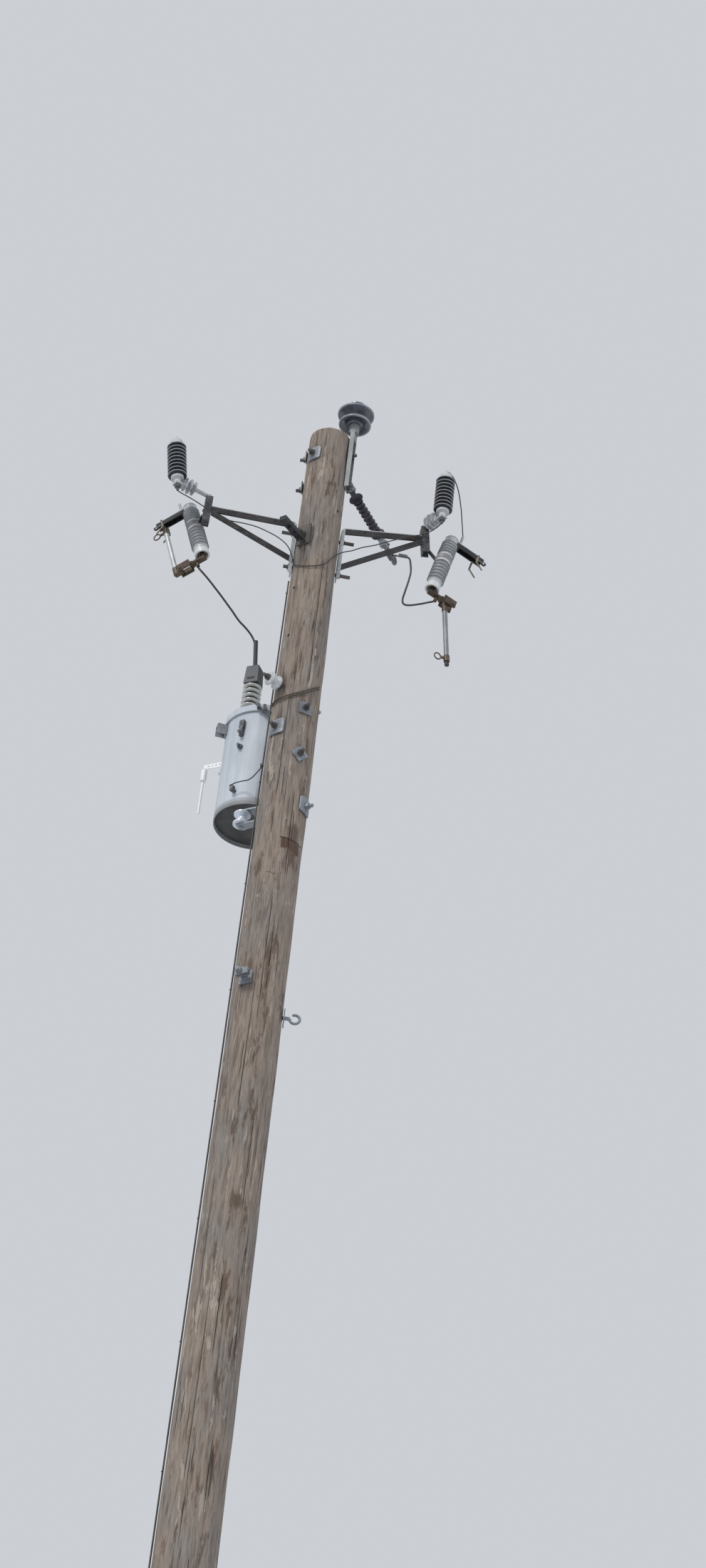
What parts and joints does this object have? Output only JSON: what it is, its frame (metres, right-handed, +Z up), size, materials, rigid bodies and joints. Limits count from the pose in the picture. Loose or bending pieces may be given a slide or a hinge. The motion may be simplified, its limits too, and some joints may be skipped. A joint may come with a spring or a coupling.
{
  "type": "pole mounted transformer",
  "caption": "Wooden pole with a side-hung transformer, two fused cutouts with arresters on steel brackets, pin and dead-end insulators.",
  "frame": {"origin": "centre of the pole's flat foot, level with the ground", "axes": "+Z up the pole, +X to the right and +Y away from the picture's camera"},
  "size_m": [1.499, 0.8308, 11.831],
  "materials": {
    "aluminium": "weathered",
    "black_casting": "black",
    "bronze_casting": "tarnished bronze",
    "dark_polymer": "dark silicone",
    "dark_steel": "dull dark steel",
    "fibre_tube": "grey fibreglass",
    "galvanised": "dull galvanised",
    "grey_polymer": "weathered polymer",
    "grey_porcelain": "grey glaze",
    "lead_wire": "covered wire",
    "pale_porcelain": "light grey glaze",
    "purple_polymer": "weathered silicone",
    "tank_paint": "light grey enamel",
    "weathered_wood": "weathered treated pine"
  },
  "bodies": {
    "structure": {"wood_pole": "weathered_wood", "ridge_pin": "galvanised", "pin_insulator": "grey_porcelain", "ridge_bolts": "galvanised", "deadend_eye_bolt": "galvanised", "deadend_insulator": "purple_polymer", "deadend_clamp": "aluminium", "guy_plate": "dark_steel", "guy_clamp": "black_casting", "bracket_bolts": "galvanised", "right_bracket": "dark_steel", "left_bracket": "dark_steel", "right_end_channel": "dark_steel", "left_end_channel": "dark_steel", "right_standoff": "grey_polymer", "left_standoff": "grey_polymer", "right_arrester": "dark_polymer", "left_arrester": "dark_polymer", "right_cutout_insulator": "pale_porcelain", "left_cutout_insulator": "pale_porcelain", "right_mount_arm": "galvanised", "left_mount_arm": "galvanised", "right_upper_contact": "dark_steel", "left_upper_contact": "dark_steel", "right_lower_hinge": "bronze_casting", "left_lower_hinge": "bronze_casting", "tank": "tank_paint", "tank_bottom": "tank_paint", "lid": "tank_paint", "lid_band": "tank_paint", "hv_bushing": "pale_porcelain", "bushing_guard": "dark_polymer", "tank_hangers": "tank_paint", "hanger_bolts": "galvanised", "lifting_lugs": "tank_paint", "tank_fittings": "tank_paint", "side_strap": "galvanised", "lv_bushings": "pale_porcelain", "neutral_spool": "pale_porcelain", "neutral_bolt": "galvanised", "service_spool": "pale_porcelain", "service_clevis": "galvanised", "ribbed_plate_bolt": "galvanised", "cable_clamps": "galvanised", "ground_wire": "lead_wire", "tap_jumper": "lead_wire", "right_arrester_lead": "lead_wire", "right_ground_lead": "lead_wire", "left_ground_lead": "lead_wire", "hv_lead": "lead_wire", "tank_ground_lead": "lead_wire"},
    "right_tube": {"right_fuse_tube": "fibre_tube"},
    "left_tube": {"left_fuse_tube": "fibre_tube"}
  },
  "joints": [
    {"name": "right_fuse_drop", "type": "hinge", "parent": "structure", "child": "right_tube", "pos_m": [0.61708, 0.058, 10.79509], "axis": [0.4226, -0.9063, 0], "range_deg": [-15, 160]},
    {"name": "left_fuse_drop", "type": "hinge", "parent": "structure", "child": "left_tube", "pos_m": [-0.57284, 0.06616, 10.80603], "axis": [-0.5446, -0.8387, 0], "range_deg": [0, 175]}
  ]
}
